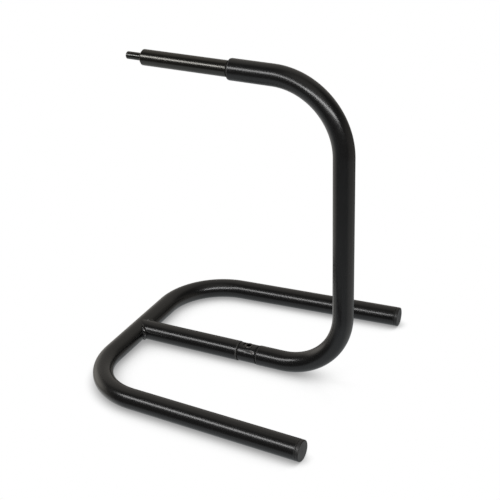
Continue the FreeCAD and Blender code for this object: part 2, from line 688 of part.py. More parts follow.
for thing in doc.Objects:
    if "Invalid" in thing.State or "Error" in thing.State:
        raise RuntimeError(f"{thing.Label} failed: {thing.State}")
for piece in PIECES:
    if piece.Shape.isNull() or not piece.Shape.isValid():
        raise RuntimeError(f"{piece.Label} has no sound shape")

os.makedirs("parts", exist_ok=True)
for piece in PIECES:
    piece.Shape.exportStep(os.path.join("parts", piece.Label + ".step"))
    box = piece.Shape.optimalBoundingBox(False)
    print(f"{piece.Label:18s} solids {len(piece.Shape.Solids)} volume {piece.Shape.Volume:9.1f}"
          f"  x {box.XMin:8.2f} {box.XMax:8.2f}  y {box.YMin:8.2f} {box.YMax:8.2f}"
          f"  z {box.ZMin:8.2f} {box.ZMax:8.2f}")
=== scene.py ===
import bmesh
import bpy
import json
import math
from mathutils import Matrix, Vector


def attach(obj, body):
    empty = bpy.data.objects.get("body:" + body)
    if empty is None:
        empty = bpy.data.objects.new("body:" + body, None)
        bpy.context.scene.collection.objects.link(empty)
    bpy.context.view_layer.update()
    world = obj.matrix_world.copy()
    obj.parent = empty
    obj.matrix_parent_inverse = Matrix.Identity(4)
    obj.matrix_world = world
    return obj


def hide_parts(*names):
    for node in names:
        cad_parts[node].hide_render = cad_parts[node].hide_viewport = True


# Bicycle display stand: bent and coated tubes, a turned pivot collar and a turned spindle rod.
# Everything is in metres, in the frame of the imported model.
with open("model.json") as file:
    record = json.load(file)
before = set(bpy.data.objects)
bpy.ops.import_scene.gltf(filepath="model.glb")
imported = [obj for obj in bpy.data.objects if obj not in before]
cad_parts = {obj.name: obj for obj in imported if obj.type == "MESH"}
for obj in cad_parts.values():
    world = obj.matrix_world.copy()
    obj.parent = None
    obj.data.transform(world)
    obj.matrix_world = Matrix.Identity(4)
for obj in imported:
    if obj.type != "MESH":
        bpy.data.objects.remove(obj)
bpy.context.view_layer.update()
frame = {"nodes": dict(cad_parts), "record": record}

MM = 0.001

# Tubes: the section, how fine a skin's facets are, and the edge of an open mouth. Its outline
# goes (forward, inward), counted in chamfers, then across its flat end in shares of the wall.
TUBE_R = 12.7*MM
TUBE_WALL = 2.0*MM
TUBE_STEP = 3.0*MM
TUBE_SIDES = 96
BEND_CHORDS = 64
MOUTH_CHAMFER = 1.2*MM
MOUTH_EDGE = [(0.38, 0.0), (0.44, 0.02), (0.56, 0.1), (1.28, 0.78), (1.37, 0.9), (1.4, 1.0)]
FACE_SHARES = (0.15, 0.85)
SEAM = 0.02*MM

# Base and stem
SPLAY = math.radians(3.0)
BAR_X = -146.449*MM
CORNER_Y = 145.0*MM
BASE_BEND = 80.0*MM
ARM_REACH = 301.0*MM
ARM_END_Y = CORNER_Y + ARM_REACH*math.tan(SPLAY)

# Pivot collar
COLLAR_X = BAR_X + 147.5*MM
COLLAR_R = 12.0*MM
COLLAR_LENGTH = 25.4*MM

# Upright, and the middle of its arm's mouth
UPRIGHT_X = COLLAR_X + 26.55*MM
POST_X = BAR_X + 288.0*MM
LOWER_BEND = 82.0*MM
UPPER_BEND = 87.0*MM
ARM_Z = 380.3*MM
ARM_RISE = math.radians(1.4)
ARM_LENGTH = 138.0*MM
MOUTH = Vector((POST_X - ARM_LENGTH*math.cos(ARM_RISE), 0,
                ARM_Z + ARM_LENGTH*math.sin(ARM_RISE)))

# What goes into a tube has a little room all round, and small holes go through one wall
SLIP = 0.04*MM
SHANK_R = TUBE_R - TUBE_WALL - SLIP
PIN_HOLE_R = 2*MM + SLIP
ROD_SCREW_HOLE_R = 3*MM + SLIP
STEM_PIN_X = COLLAR_X - 13*MM
SPIGOT_PIN_X = UPRIGHT_X + 15*MM
ROD_SCREW_BACK = 20*MM
THROUGH = 20*MM

# Lock screw in the collar, from the tube's axis
LOCK_BOTTOM, LOCK_LENGTH, LOCK_R, LOCK_PITCH = 7.45*MM, 4*MM, 6*MM, 1.75*MM
LOCK_TOP = LOCK_BOTTOM + LOCK_LENGTH
LOCK_SOCKET, LOCK_SOCKET_DEPTH = 6*MM, 2.5*MM

# Two faces that meet at more than this keep a sharp edge
SHARP = math.radians(32)

# Middle of each open end of the tubes, the way into the tube from there, and how worn its edge is
OPEN_ENDS = [
    (Vector((COLLAR_X, 0, TUBE_R)), Vector((-1, 0, 0)), 1.0),
    (Vector((UPRIGHT_X, 0, TUBE_R)), Vector((1, 0, 0)), 1.0),
    (MOUTH, Vector((math.cos(ARM_RISE), 0, -math.sin(ARM_RISE))), 1.0)]
OPEN_ENDS += [(Vector((BAR_X + ARM_REACH, side*ARM_END_Y, TUBE_R)),
               Vector((-math.cos(SPLAY), -side*math.sin(SPLAY), 0)), 0.35) for side in (-1, 1)]


# Node trees

def add_node(tree, kind, inputs=None, **settings):
    """Node with its settings. An input is given as a value or as another node's socket."""
    made = tree.nodes.new(kind)
    for name, setting in settings.items():
        setattr(made, name, setting)
    for place, source in (inputs or {}).items():
        if isinstance(source, bpy.types.NodeSocket):
            tree.links.new(source, made.inputs[place])
        else:
            made.inputs[place].default_value = source
    return made


def calculate(tree, operation, first, second=0.0, third=0.0):
    """Socket with the result of one sum."""
    return add_node(tree, "ShaderNodeMath", {0: first, 1: second, 2: third},
                    operation=operation).outputs[0]


def eased(tree, source, low, high, first, last):
    """Socket that goes softly from first to last while the source goes from low to high."""
    return add_node(tree, "ShaderNodeMapRange", {0: source, 1: low, 2: high, 3: first, 4: last},
                    interpolation_type="SMOOTHSTEP").outputs[0]


def new_tree(name, sizes):
    """Geometry Nodes tree with named inputs, and a dictionary of their sockets."""
    tree = bpy.data.node_groups.new(name, "GeometryNodeTree")
    tree.interface.new_socket("Line", in_out="INPUT", socket_type="NodeSocketGeometry")
    tree.interface.new_socket("Piece", in_out="OUTPUT", socket_type="NodeSocketGeometry")
    for label, kind in sizes:
        tree.interface.new_socket(label, in_out="INPUT", socket_type="NodeSocket" + kind)
    given = add_node(tree, "NodeGroupInput")
    return tree, {socket.name: socket for socket in given.outputs if socket.name}


def close_tree(tree, mesh):
    """Every tree ends with real geometry that has its material."""
    given = next(node for node in tree.nodes if node.type == "GROUP_INPUT")
    real = add_node(tree, "GeometryNodeRealizeInstances", {0: mesh})
    smooth = add_node(tree, "GeometryNodeSetShadeSmooth", {0: real.outputs[0]})
    coated = add_node(tree, "GeometryNodeSetMaterial",
                      {0: smooth.outputs[0], "Material": given.outputs["Finish"]})
    add_node(tree, "NodeGroupOutput", {0: coated.outputs[0]})


def bent_tube_tree():
    """Hollow tube with chamfered mouths, bent to the radii asked for at the line's corners."""
    tree, size = new_tree("bent_tube", [
        ("Outer radius", "Float"), ("Wall", "Float"), ("First bend", "Float"),
        ("Last bend", "Float"), ("Mouth chamfer", "Float"), ("Step", "Float"),
        ("Sides", "Int"), ("Finish", "Material")])
    line = add_node(tree, "GeometryNodeMeshToCurve", {0: size["Line"]})

    # The line's first corner takes the first bend's radius, and all others the last bend's
    first = add_node(tree, "FunctionNodeCompare",
                     {2: add_node(tree, "GeometryNodeInputIndex").outputs[0], 3: 2},
                     data_type="INT", operation="LESS_THAN")
    radius = add_node(tree, "GeometryNodeSwitch",
                      {0: first.outputs[0], 1: size["Last bend"], 2: size["First bend"]},
                      input_type="FLOAT")
    bent = add_node(tree, "GeometryNodeFilletCurve",
                    {0: line.outputs[0], "Count": BEND_CHORDS, "Radius": radius.outputs[0]},
                    mode="POLY")
    path = add_node(tree, "GeometryNodeResampleCurve",
                    {0: bent.outputs[0], "Length": size["Step"]}, mode="LENGTH")
    seat = calculate(tree, "MULTIPLY", size["Mouth chamfer"], MOUTH_EDGE[-1][0])
    length = add_node(tree, "GeometryNodeCurveLength", {0: path.outputs[0]})
    end = calculate(tree, "SUBTRACT", length.outputs[0], seat)
    short = add_node(tree, "GeometryNodeTrimCurve", {0: path.outputs[0], 4: seat, 5: end},
                     mode="LENGTH")

    def skin(along, out, caps):
        ring = add_node(tree, "GeometryNodeCurvePrimitiveCircle",
                        {"Resolution": size["Sides"], "Radius": out})
        return add_node(tree, "GeometryNodeCurveToMesh",
                        {0: along, 1: ring.outputs[0], "Fill Caps": caps}).outputs[0]

    # The outer skin stops short of the mouths, and its two round end faces are pulled out ring by
    # ring into the chamfers, then in across the wall's end
    mesh = skin(short.outputs[0], size["Outer radius"], True)
    neighbours = add_node(tree, "GeometryNodeInputMeshFaceNeighbors")
    ends = add_node(tree, "FunctionNodeCompare", {2: neighbours.outputs[0], 3: 4},
                    data_type="INT", operation="GREATER_THAN").outputs[0]
    reached, dropped = 0.0, size["Outer radius"]
    for forward, inward in MOUTH_EDGE:
        out = calculate(tree, "MULTIPLY_ADD", size["Mouth chamfer"], -inward,
                        size["Outer radius"])
        step = calculate(tree, "MULTIPLY", size["Mouth chamfer"], forward - reached)
        mesh, ends = pulled(tree, mesh, ends, step, calculate(tree, "DIVIDE", out, dropped))
        reached, dropped = forward, out
    for share in FACE_SHARES:
        out = calculate(tree, "MULTIPLY_ADD", size["Wall"], -share, size["Outer radius"])
        mesh, ends = pulled(tree, mesh, ends, 0.0, calculate(tree, "DIVIDE", out, dropped))
        dropped = out
    bore = calculate(tree, "SUBTRACT", size["Outer radius"], size["Wall"])
    mesh, ends = pulled(tree, mesh, ends, 0.0, calculate(tree, "DIVIDE", bore, dropped))

    # The last end faces are taken off, and the bore's skin joins on
    opened = add_node(tree, "GeometryNodeDeleteGeometry", {0: mesh, 1: ends}, domain="FACE")
    inner = add_node(tree, "GeometryNodeFlipFaces", {0: skin(path.outputs[0], bore, False)})
    both = add_node(tree, "GeometryNodeJoinGeometry", {0: opened.outputs[0]})
    tree.links.new(inner.outputs[0], both.inputs[0])
    merged = add_node(tree, "GeometryNodeMergeByDistance",
                      {0: both.outputs[0], "Distance": SEAM})
    close_tree(tree, merged.outputs[0])
    return tree


def pulled(tree, mesh, faces, step, share):
    """The faces moved out along their normal and scaled about their own middle."""
    moved = add_node(tree, "GeometryNodeExtrudeMesh",
                     {0: mesh, 1: faces, "Offset Scale": step, "Individual": False},
                     mode="FACES")
    sized = add_node(tree, "GeometryNodeScaleElements",
                     {0: moved.outputs[0], 1: moved.outputs[1], "Scale": share}, domain="FACE")
    return sized.outputs[0], moved.outputs[1]


def weld_bead_tree():
    """Pair of rippled beads along the line where two equal tubes meet square."""
    tree, size = new_tree("weld_bead", [
        ("Tube radius", "Float"), ("Half span", "Float"), ("Leg", "Float"), ("Toe", "Float"),
        ("Ripples", "Int"), ("Ripple depth", "Float"), ("Place", "Vector"),
        ("Finish", "Material")])
    ripple_points, crest_power, bead_sides = 10.0, 1.6, 28
    unsteadiness, unsteady_scale = 0.16, 9.0
    closing_share, closed, open_bead = 0.035, 0.12, 0.9

    # The seam of two equal tubes that cross square lies at equal distances along both
    start = add_node(tree, "GeometryNodeCurvePrimitiveLine", mode="POINTS")
    count = calculate(tree, "MULTIPLY", size["Ripples"], ripple_points)
    line = add_node(tree, "GeometryNodeResampleCurve",
                    {0: start.outputs[0], "Count": count}, mode="COUNT")
    share = add_node(tree, "GeometryNodeSplineParameter").outputs["Factor"]
    side = calculate(tree, "MULTIPLY_ADD", share, 2.0, -1.0)
    angle = calculate(tree, "MULTIPLY", side, size["Half span"])
    across = calculate(tree, "MULTIPLY", size["Tube radius"], calculate(tree, "COSINE", angle))
    up = calculate(tree, "MULTIPLY", size["Tube radius"], calculate(tree, "SINE", angle))
    point = add_node(tree, "ShaderNodeCombineXYZ", {0: across, 1: across, 2: up})
    seam = add_node(tree, "GeometryNodeSetPosition",
                    {0: line.outputs[0], "Position": point.outputs[0]})

    # The bead's radius: widest in the middle, rippled, a little unsteady, and closed at its ends
    fade = calculate(tree, "COSINE", calculate(tree, "MULTIPLY", side, math.pi/2))
    growth = calculate(tree, "SUBTRACT", size["Leg"], size["Toe"])
    leg = calculate(tree, "MULTIPLY_ADD", growth, fade, size["Toe"])
    wave = calculate(tree, "FRACT", calculate(tree, "MULTIPLY", share, size["Ripples"]))
    crest = calculate(tree, "POWER", wave, crest_power)
    ripple = calculate(tree, "MULTIPLY_ADD", crest, size["Ripple depth"], 1.0)
    uneven = add_node(tree, "ShaderNodeTexNoise",
                      {"W": share, "Scale": unsteady_scale, "Detail": 1.0},
                      noise_dimensions="1D")
    unsteady = calculate(tree, "MULTIPLY_ADD", uneven.outputs[0], unsteadiness,
                         1 - unsteadiness/2)
    edge = calculate(tree, "MINIMUM", share, calculate(tree, "SUBTRACT", 1.0, share))
    closing = eased(tree, edge, 0.0, closing_share, closed, open_bead)
    out = calculate(tree, "MULTIPLY", calculate(tree, "MULTIPLY", leg, ripple),
                    calculate(tree, "MULTIPLY", unsteady, closing))
    ring = add_node(tree, "GeometryNodeCurvePrimitiveCircle",
                    {"Resolution": bead_sides, "Radius": 1.0})
    bead = add_node(tree, "GeometryNodeCurveToMesh",
                    {0: seam.outputs[0], 1: ring.outputs[0], "Scale": out, "Fill Caps": True})

    # The other side's bead is its mirror image, turned right side out again
    turned_over = add_node(tree, "GeometryNodeTransform",
                           {0: bead.outputs[0], "Scale": (1.0, -1.0, 1.0)})
    other = add_node(tree, "GeometryNodeFlipFaces", {0: turned_over.outputs[0]})
    both = add_node(tree, "GeometryNodeJoinGeometry", {0: bead.outputs[0]})
    tree.links.new(other.outputs[0], both.inputs[0])
    placed = add_node(tree, "GeometryNodeTransform",
                      {0: both.outputs[0], "Translation": size["Place"]})
    close_tree(tree, placed.outputs[0])
    return tree


# Finishes

# Sizes of the drift in tone and of the scuffs, and the range that a noise keeps to
DRIFT_SIZE, SCUFF_SIZE = 35*MM, 7*MM
NOISE_LOW, NOISE_HIGH = 0.3, 0.7

# A turning tool's rings, much longer round the piece than along it
TOOL_RING, TOOL_DEPTH, TOOL_STRETCH = 0.5*MM, 0.0012*MM, 8.0

# A worn edge: its colour, added roughness and raggedness, how far into a tube it is worn and
# from where the coat is whole, and how far around the end's middle that holds
WORN_COAT, WORN_DULL, WORN_RAGGED = (0.045, 0.045, 0.043), 0.22, 0.8*MM
WORN_TO, COAT_FROM, WORN_REACH = MOUTH_CHAMFER + 0.2*MM, MOUTH_CHAMFER + 1.2*MM, 1.2*TUBE_R

# Painted shade down in a socket: the softness of its rim, its top and its full depth, and how
# much colour it leaves
SOCKET_SHADE_EDGE, SOCKET_SHADE_TOP, SOCKET_SHADE_FULL, SOCKET_SHADE_DARK = 0.3*MM, -0.15*MM, -0.7*MM, 0.04


def finish(name, colour, metal, rough, spread=0.04, grain=(), shade=0.12, shine=0.5,
           turned_along=None, painted_socket_shade=None, open_ends=()):
    """Finish whose roughness and colour drift over the surface, with a fine relief.

    spread is how far the roughness drifts, and shade the tone. grain lists (size, height) of
    the relief's bumps. turned_along is a rotation that brings a turned piece's axis onto X,
    and the piece then shows the tool's fine rings. grime is the top middle and the radius of an
    upright socket whose colour is darkened down into it as painted shade. At open_ends, the coat
    on a tube's chamfer is worn grey and dull."""
    material = bpy.data.materials.new(name)
    material.use_nodes = True
    tree = material.node_tree
    shader = next(node for node in tree.nodes if node.type == "BSDF_PRINCIPLED")
    shader.inputs["Metallic"].default_value = metal
    shader.inputs["Specular IOR Level"].default_value = shine
    place = add_node(tree, "ShaderNodeTexCoord").outputs["Object"]
    drift = add_node(tree, "ShaderNodeTexNoise",
                     {"Vector": place, "Scale": 1/DRIFT_SIZE, "Detail": 3.0, "Roughness": 0.6})
    tone = add_node(tree, "ShaderNodeMapRange",
                    {0: drift.outputs[0], 1: NOISE_LOW, 2: NOISE_HIGH, 3: 1 - shade,
                     4: 1 + shade})
    painted = add_node(tree, "ShaderNodeVectorMath",
                       {0: colour, "Scale": tone.outputs[0]}, operation="SCALE")
    # Painted shade: the colour darkens down into the socket's recess
    if painted_socket_shade is not None:
        middle, reach = painted_socket_shade
        away = add_node(tree, "ShaderNodeVectorMath", {0: place, 1: middle}, operation="SUBTRACT")
        part = add_node(tree, "ShaderNodeSeparateXYZ", {0: away.outputs[0]}).outputs
        out = calculate(tree, "SQRT", calculate(
            tree, "MULTIPLY_ADD", part["X"], part["X"],
            calculate(tree, "MULTIPLY", part["Y"], part["Y"])))
        beside = eased(tree, out, reach, reach + SOCKET_SHADE_EDGE, 0.0, 1.0)
        above = eased(tree, part["Z"], SOCKET_SHADE_FULL, SOCKET_SHADE_TOP, SOCKET_SHADE_DARK, 1.0)
        unshaded = calculate(tree, "MAXIMUM", beside, above)
        painted = add_node(tree, "ShaderNodeVectorMath",
                           {0: painted.outputs[0], "Scale": unshaded}, operation="SCALE")
    scuff = add_node(tree, "ShaderNodeTexNoise",
                     {"Vector": place, "Scale": 1/SCUFF_SIZE, "Detail": 2.0, "Roughness": 0.5})
    dull = add_node(tree, "ShaderNodeMapRange",
                    {0: scuff.outputs[0], 1: NOISE_LOW, 2: NOISE_HIGH, 3: rough - spread,
                     4: rough + spread}).outputs[0]
    if open_ends:
        worn = worn_edges(tree, place, scuff.outputs[0], open_ends)
        grey = add_node(tree, "ShaderNodeVectorMath", {0: WORN_COAT, "Scale": worn},
                        operation="SCALE")
        painted = add_node(tree, "ShaderNodeVectorMath",
                           {0: painted.outputs[0], 1: grey.outputs[0]}, operation="ADD")
        dull = calculate(tree, "MULTIPLY_ADD", worn, WORN_DULL, dull)
    tree.links.new(painted.outputs[0], shader.inputs["Base Color"])
    tree.links.new(dull, shader.inputs["Roughness"])
    normal = None
    for bump_size, height in grain:
        pebble = add_node(tree, "ShaderNodeTexNoise",
                          {"Vector": place, "Scale": 1/bump_size, "Detail": 2.0,
                           "Roughness": 0.45})
        normal = relief(tree, pebble.outputs[0], height, normal)
    if turned_along is not None:
        along = add_node(tree, "ShaderNodeMapping",
                         {"Vector": place, "Rotation": turned_along.to_euler()})
        squeezed = add_node(tree, "ShaderNodeMapping",
                            {"Vector": along.outputs[0],
                             "Scale": (1/TOOL_RING, TOOL_STRETCH, TOOL_STRETCH)})
        rings = add_node(tree, "ShaderNodeTexNoise",
                         {"Vector": squeezed.outputs[0], "Scale": 1.0, "Detail": 1.0})
        normal = relief(tree, rings.outputs[0], TOOL_DEPTH, normal)
    if normal is not None:
        tree.links.new(normal, shader.inputs["Normal"])
    return material


def worn_edges(tree, place, uneven, open_ends):
    """How worn the coat is, up to 1 on the chamfers of the open ends, with a ragged edge."""
    worn = 0.0
    for middle, inward, most in open_ends:
        away = add_node(tree, "ShaderNodeVectorMath", {0: place, 1: middle}, operation="SUBTRACT")
        depth = add_node(tree, "ShaderNodeVectorMath", {0: away.outputs[0], 1: inward},
                         operation="DOT_PRODUCT").outputs["Value"]
        reach = add_node(tree, "ShaderNodeVectorMath", {0: away.outputs[0]},
                         operation="LENGTH").outputs["Value"]
        ragged = calculate(tree, "MULTIPLY_ADD", uneven, WORN_RAGGED, depth)
        edge = eased(tree, ragged, WORN_TO, COAT_FROM, most, 0.0)
        near = calculate(tree, "LESS_THAN", reach, WORN_REACH)
        worn = calculate(tree, "MAXIMUM", calculate(tree, "MULTIPLY", edge, near), worn)
    return worn


def relief(tree, height, depth, under):
    """Normal of a relief that may lie over another one."""
    bump = add_node(tree, "ShaderNodeBump", {"Height": height, "Distance": depth,
                                             "Strength": 1.0})
    if under is not None:
        tree.links.new(under, bump.inputs["Normal"])
    return bump.outputs[0]


ROD_TURN = Matrix.Rotation(-math.pi - ARM_RISE, 3, "Y")
LEVEL = Matrix.Identity(3)
COAT_BLACK = (0.0045, 0.0045, 0.0048)

powder_coat = finish(
    "powder_coat", COAT_BLACK, metal=0.0, rough=0.25, spread=0.02, shine=0.62,
    grain=[(2.6*MM, 0.003*MM), (0.9*MM, 0.0004*MM)], open_ends=OPEN_ENDS)
collar_coat = finish(
    "collar_coat", COAT_BLACK, metal=0.0, rough=0.25, spread=0.02, shine=0.62,
    grain=[(1.8*MM, 0.002*MM)], turned_along=LEVEL)
pooled_coat = finish(
    "pooled_coat", COAT_BLACK, metal=0.0, rough=0.12, spread=0.02, shine=1.0,
    grain=[(2.6*MM, 0.003*MM)])
cap_plastic = finish(
    "cap_plastic", (0.018, 0.018, 0.0185), metal=0.0, rough=0.42, spread=0.04,
    grain=[(0.5*MM, 0.02*MM), (3*MM, 0.01*MM)])
# The lock screw's hex socket gets painted shade down in its recess
black_screw = finish(
    "black_screw", (0.1, 0.096, 0.093), metal=0.95, rough=0.3, spread=0.04,
    grain=[(0.5*MM, 0.002*MM)],
    painted_socket_shade=(Vector((COLLAR_X + COLLAR_LENGTH/2, 0, TUBE_R + LOCK_TOP)), 3.6*MM))
spring_steel = finish(
    "spring_steel", (0.09, 0.088, 0.085), metal=0.9, rough=0.42, spread=0.06,
    grain=[(0.6*MM, 0.004*MM)])
bush_bronze = finish(
    "bush_bronze", (0.42, 0.27, 0.12), metal=1.0, rough=0.5, spread=0.06,
    grain=[(0.3*MM, 0.01*MM)])
pad_brass = finish(
    "pad_brass", (0.62, 0.44, 0.18), metal=1.0, rough=0.34, spread=0.05,
    grain=[(0.8*MM, 0.003*MM)])
washer_plastic = finish(
    "washer_plastic", (0.02, 0.02, 0.02), metal=0.0, rough=0.5, spread=0.05,
    grain=[(0.5*MM, 0.01*MM)])
turned_steel = finish(
    "turned_steel", (0.3, 0.3, 0.3), metal=1.0, rough=0.34, spread=0.05,
    grain=[(1.5*MM, 0.003*MM)], turned_along=LEVEL)
rod_steel = finish(
    "rod_steel", (0.09, 0.088, 0.082), metal=1.0, rough=0.25, spread=0.02,
    grain=[(1.6*MM, 0.0015*MM)], turned_along=ROD_TURN)
pin_steel = finish(
    "pin_steel", (0.085, 0.086, 0.082), metal=1.0, rough=0.24, spread=0.02,
    grain=[(1.4*MM, 0.0015*MM)], turned_along=ROD_TURN)
ring_rubber = finish(
    "ring_rubber", (0.004, 0.004, 0.004), metal=0.0, rough=0.6, spread=0.06, shine=0.2,
    grain=[(0.4*MM, 0.01*MM)])
FINISHES = {
    "black_coat": powder_coat, "collar_coat": collar_coat, "cap_plastic": cap_plastic,
    "black_screw": black_screw, "spring_steel": spring_steel, "bush_bronze": bush_bronze,
    "pad_brass": pad_brass, "washer_plastic": washer_plastic, "turned_steel": turned_steel,
    "rod_steel": rod_steel, "pin_steel": pin_steel, "ring_rubber": ring_rubber,
}
SLOTS = {row["node"]: row["material_slot"] for row in frame["record"]["subparts"]}


# Makers of pieces

def show(mesh, name):
    """Object with the mesh, linked to the scene."""
    piece = bpy.data.objects.new(name, mesh)
    bpy.context.scene.collection.objects.link(piece)
    return piece


def baked(piece):
    """The piece with its modifiers turned into plain mesh."""
    bpy.context.view_layer.update()
    graph = bpy.context.evaluated_depsgraph_get()
    mesh = bpy.data.meshes.new_from_object(piece.evaluated_get(graph))
    old = piece.data
    piece.modifiers.clear()
    piece.data = mesh
    mesh.name = piece.name
    bpy.data.meshes.remove(old)
    return piece


def run_tree(name, points, tree, **given):
    """Piece that a Geometry Nodes tree makes along a line of points."""
    line = bpy.data.meshes.new(name)
    line.from_pydata(points, [(k, k + 1) for k in range(len(points) - 1)], [])
    piece = show(line, name)
    modifier = piece.modifiers.new("build", "NODES")
    modifier.node_group = tree
    for socket in tree.interface.items_tree:
        label = socket.name.lower().replace(" ", "_")
        if socket.in_out == "INPUT" and label in given:
            modifier[socket.identifier] = given[label]
    return baked(piece)


def softened(corners):
    """Half section from corners of (along, out, rounding), rounded with short chords.

    One more point stands a little way off each end of a rounding, so that the flat beside it
    stays flat when it is shaded smooth."""
    points = []
    for k, (along, out, rounding) in enumerate(corners):
        corner = Vector((along, out))
        if not rounding or not 0 < k < len(corners) - 1:
            points.append(corner)
            continue
        before = Vector(corners[k - 1][:2]) - corner
        after = Vector(corners[k + 1][:2]) - corner
        reach = min(rounding, 0.4*before.length, 0.4*after.length)
        start, end = before.normalized()*reach, after.normalized()*reach
        points.append(corner + start*1.2)
        for share in (0.0, 0.25, 0.5, 0.75, 1.0):
            points.append(corner + start*(1 - share)**2 + end*share**2)
        points.append(corner + end*1.2)
    return [(point.x, point.y) for point in points]


def turned(name, section, place, closed=False, sides=96):
    """Turned piece from a section of (along, out), about its place's own X axis.

    A ring's radius is a number or a function of the angle. A closed section is a ring's, and
    its last corner joins the first."""
    shape = bmesh.new()
    rings = []
    for along, out in section:
        if not callable(out) and out < 1e-9:
            rings.append([shape.verts.new(place @ Vector((along, 0, 0)))]*sides)
            continue
        ring = []
        for k in range(sides):
            angle = 2*math.pi*k/sides
            radius = out(angle) if callable(out) else out
            point = Vector((along, radius*math.cos(angle), radius*math.sin(angle)))
            ring.append(shape.verts.new(place @ point))
        rings.append(ring)
    pairs = list(zip(rings, rings[1:]))
    if closed:
        pairs.append((rings[-1], rings[0]))
    for first, second in pairs:
        for k in range(sides):
            after = (k + 1) % sides
            corners = [first[k], first[after], second[after], second[k]]
            corners = [corner for j, corner in enumerate(corners) if corner != corners[j - 1]]
            if len(corners) > 2:
                shape.faces.new(corners)
    bmesh.ops.recalc_face_normals(shape, faces=shape.faces)
    return shaded(shape, name)


def shaded(shape, name):
    """Piece from a bmesh, smooth but for its sharp edges."""
    mesh = bpy.data.meshes.new(name)
    shape.to_mesh(mesh)
    shape.free()
    mesh.shade_smooth()
    mesh.set_sharp_from_angle(angle=SHARP)
    return show(mesh, name)


def hexagon(across_flats):
    """Radius of a hexagon's outline at an angle, with a corner at angle 0."""
    return lambda angle: (across_flats/2)/math.cos(angle % (math.pi/3) - math.pi/6)


def thread(outer, pitch, at):
    """Radius of a screw thread at an angle, at one place along the screw."""
    depth, flank, crest = 0.55*pitch, 1.4, 0.12

    def radius(angle):
        turn = (at/pitch - angle/(2*math.pi)) % 1.0
        return outer - depth*min(1.0, max(0.0, abs(2*turn - 1)*flank - crest))
    return radius


def drilled(piece, cutters, edge=0.0):
    """The piece with the cutters' shapes taken out, and its sharp edges broken."""
    for cutter in cutters:
        hole = piece.modifiers.new("hole", "BOOLEAN")
        hole.object = cutter
        hole.solver = "MANIFOLD"
    if edge:
        rim = piece.modifiers.new("rim", "BEVEL")
        rim.width = edge
        rim.segments = 2
        rim.limit_method = "ANGLE"
        rim.angle_limit = math.radians(40)
        rim.use_clamp_overlap = False
    baked(piece)
    for cutter in cutters:
        bpy.data.objects.remove(cutter)
    piece.data.set_sharp_from_angle(angle=SHARP)
    return piece


def drill(out, start, end, place, sides=96):
    """Cylinder of radius out to cut a hole with, along its place's own X axis."""
    return turned("drill", [(start, 0), (start, out), (end, out), (end, 0)], place, sides=sides)


def fit(piece, body, *nodes):
    """Gives a finished piece its body and the finish of the nodes that it stands for, and hides
    those nodes.
    """
    slot = SLOTS[nodes[0]]
    piece.data.materials.clear()
    piece.data.materials.append(FINISHES[slot])
    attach(piece, body)
    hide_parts(*nodes)
    return piece


def standing(x, y, z, turn=LEVEL):
    """Place of a piece whose own X axis is turned from the frame's."""
    return Matrix.Translation((x, y, z)) @ turn.to_4x4()


UP = Matrix(((0, 1, 0), (0, 0, 1), (1, 0, 0)))
DOWN = Matrix(((0, 1, 0), (0, 0, -1), (-1, 0, 0)))
stem_axis = standing(COLLAR_X, 0, TUBE_R)
arm_axis = standing(MOUTH.x, 0, MOUTH.z, Matrix.Rotation(math.pi + ARM_RISE, 3, "Y"))

# Bent tubes
tube_tree = bent_tube_tree()


def bent_tube(name, points, bends=(0.0, 0.0), less=0.0):
    """Coated tube along the points. less is taken off its outside, and the bore stays."""
    return run_tree(name, points, tube_tree, outer_radius=TUBE_R - less, wall=TUBE_WALL - less,
                    first_bend=bends[0], last_bend=bends[1], mouth_chamfer=MOUTH_CHAMFER,
                    step=TUBE_STEP, sides=TUBE_SIDES, finish=powder_coat)


base_tube = bent_tube("coated_base_tube", [
    (BAR_X + ARM_REACH, -ARM_END_Y, TUBE_R), (BAR_X, -CORNER_Y, TUBE_R),
    (BAR_X, CORNER_Y, TUBE_R), (BAR_X + ARM_REACH, ARM_END_Y, TUBE_R)],
    (BASE_BEND, BASE_BEND))
base_tube.data.set_sharp_from_angle(angle=SHARP)
fit(base_tube, "base", "base_tube")

stem = bent_tube("coated_stem", [(BAR_X, 0, TUBE_R), (COLLAR_X, 0, TUBE_R)])
across_bar = standing(BAR_X, 0, TUBE_R, Matrix.Rotation(math.pi/2, 3, "Z"))
stem_pin = standing(STEM_PIN_X, 0, TUBE_R, DOWN)
saddle_room, saddle_reach = 0.1*MM, 40*MM
drilled(stem, [
    drill(TUBE_R + saddle_room, -saddle_reach, saddle_reach, across_bar, sides=192),
    drill(PIN_HOLE_R, 0, THROUGH, stem_pin, sides=48)])
fit(stem, "base", "stem_tube")

# The upright is a hair slimmer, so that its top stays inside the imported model's box
upright = bent_tube("coated_upright", [
    (UPRIGHT_X, 0, TUBE_R), (POST_X, 0, TUBE_R), (POST_X, 0, ARM_Z), tuple(MOUTH)],
    (LOWER_BEND, UPPER_BEND), less=0.04*MM)
spigot_pin = standing(SPIGOT_PIN_X, 0, TUBE_R, DOWN)
rod_screw = arm_axis @ standing(-ROD_SCREW_BACK, 0, 0, UP)
drilled(upright, [drill(PIN_HOLE_R, 0, THROUGH, spigot_pin, sides=48),
                  drill(ROD_SCREW_HOLE_R, 0, THROUGH, rod_screw, sides=48)])
fit(upright, "upright", "upright_tube")

beads = run_tree("weld_beads", [(0, 0, 0), (1*MM, 0, 0)], weld_bead_tree(),
                 tube_radius=TUBE_R, half_span=math.radians(63), leg=3.3*MM, toe=0.8*MM,
                 ripples=16, ripple_depth=0.1, place=(BAR_X, 0, TUBE_R), finish=powder_coat)
beads.data.set_sharp_from_angle(angle=math.radians(50))
fit(beads, "base", "stem_welds")
beads.data.materials[0] = pooled_coat

